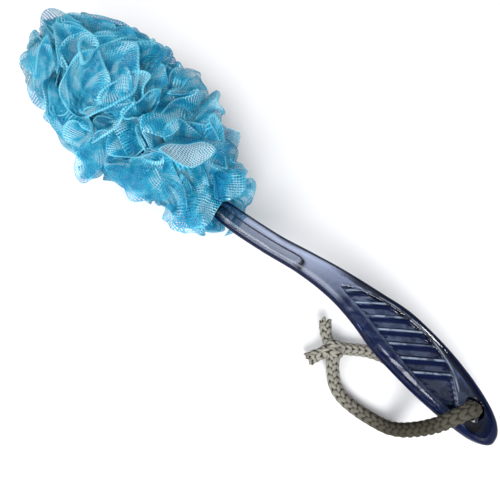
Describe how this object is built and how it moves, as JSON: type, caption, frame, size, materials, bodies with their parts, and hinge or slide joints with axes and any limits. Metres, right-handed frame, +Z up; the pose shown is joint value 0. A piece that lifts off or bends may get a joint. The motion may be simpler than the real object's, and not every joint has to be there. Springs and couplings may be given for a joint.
{
  "type": "loofah back scrubber",
  "caption": "Long-handled bath scrubber: clear arched handle with a ribbed leaf grip, ruffled netting head gathered on the stem, and a braided rope hanging loop.",
  "frame": {"origin": "on the surface the scrubber lies on, under the middle of its overall length", "axes": "+X along the handle towards the hanging end, +Z up from the surface, the handle's ribbed face up"},
  "size_m": [0.373, 0.0918, 0.093],
  "materials": {
    "clear_blue": "clear tinted polystyrene, glossy",
    "netting": "fine nylon netting, slightly shiny",
    "tie_cord": "thin twisted cord",
    "rope": "braided cord, matte"
  },
  "bodies": {
    "scrubber": {"handle": "clear_blue", "netting_ruff_1": "netting", "netting_ruff_2": "netting", "netting_ruff_3": "netting", "netting_ruff_4": "netting", "netting_ruff_5": "netting", "netting_ruff_6": "netting", "tie_cord_1": "tie_cord", "tie_cord_2": "tie_cord", "tie_cord_3": "tie_cord", "tie_cord_4": "tie_cord", "tie_cord_5": "tie_cord", "tie_cord_6": "tie_cord"},
    "rope_loop": {"rope_loop": "rope", "rope_knot": "rope", "rope_tail_upper": "rope", "rope_tail_lower": "rope"}
  },
  "joints": [
    {"name": "loop_swing", "type": "hinge", "parent": "scrubber", "child": "rope_loop", "pos_m": [0.1695, -0.012, 0.0202], "axis": [0, 0, 1], "range_deg": [0, 80]}
  ]
}
